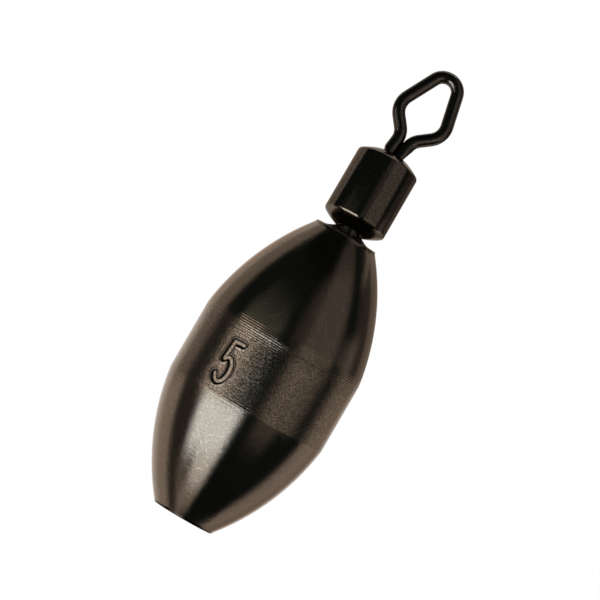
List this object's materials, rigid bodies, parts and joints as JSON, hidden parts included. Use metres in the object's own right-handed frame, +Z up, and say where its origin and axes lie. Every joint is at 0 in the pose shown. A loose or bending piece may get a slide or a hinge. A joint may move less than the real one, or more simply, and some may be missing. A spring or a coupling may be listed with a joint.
{
  "type": "fishing sinker",
  "caption": "Drop-shot sinker: a belted tungsten olive hung under a rolling swivel whose pinched diamond wire eye clips the line.",
  "frame": {"origin": "where the line bears on the inside of the eye, at the peak of its loop", "axes": "+Z up along the sinker body's axis, as it hangs; the eye's loop lies across X and the stored droop of the swivel is towards +Y"},
  "size_m": [0.0065, 0.0066, 0.0197],
  "materials": {
    "tungsten_body": "satin",
    "adhesive": "satin",
    "barrel_plating": "polished",
    "swivel_wire": "polished"
  },
  "bodies": {
    "eye": {"line_eye": "swivel_wire"},
    "barrel": {"swivel_barrel": "barrel_plating"},
    "sinker": {"sinker_body": "tungsten_body", "bond_plug": "adhesive", "anchor_pin": "swivel_wire"}
  },
  "joints": [
    {"name": "eye_spin", "type": "hinge", "parent": "eye", "child": "barrel", "pos_m": [-0.00046, -0.00075, -0.00354], "axis": [0, 0.2079, 0.9781], "continuous": true},
    {"name": "sinker_rock", "type": "hinge", "parent": "barrel", "child": "sinker", "pos_m": [-0.00046, -0.0014, -0.00657], "axis": [1, 0, 0], "range_deg": [-24, 0]}
  ]
}
